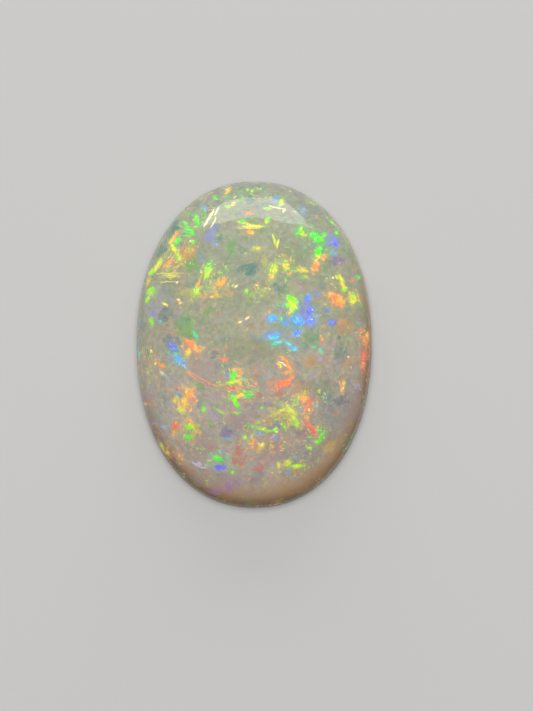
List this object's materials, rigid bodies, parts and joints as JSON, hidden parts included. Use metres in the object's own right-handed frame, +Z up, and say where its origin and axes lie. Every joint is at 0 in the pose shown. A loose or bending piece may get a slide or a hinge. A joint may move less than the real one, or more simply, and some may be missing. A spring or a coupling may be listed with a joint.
{
  "type": "crystal opal cabochon",
  "caption": "Oval opal polished as a smooth dome on a low side, with a flat base: milky grey-green, with flashes of green, orange, red and blue.",
  "frame": {"origin": "middle of the flat base", "axes": "+X across the stone, +Y along it, +Z up out of the dome"},
  "size_m": [0.0252, 0.035, 0.0084],
  "materials": {
    "opal": "gloss polish, milky and translucent, with play of colour"
  },
  "bodies": {
    "root": {"opal_cabochon": "opal"}
  },
  "joints": []
}
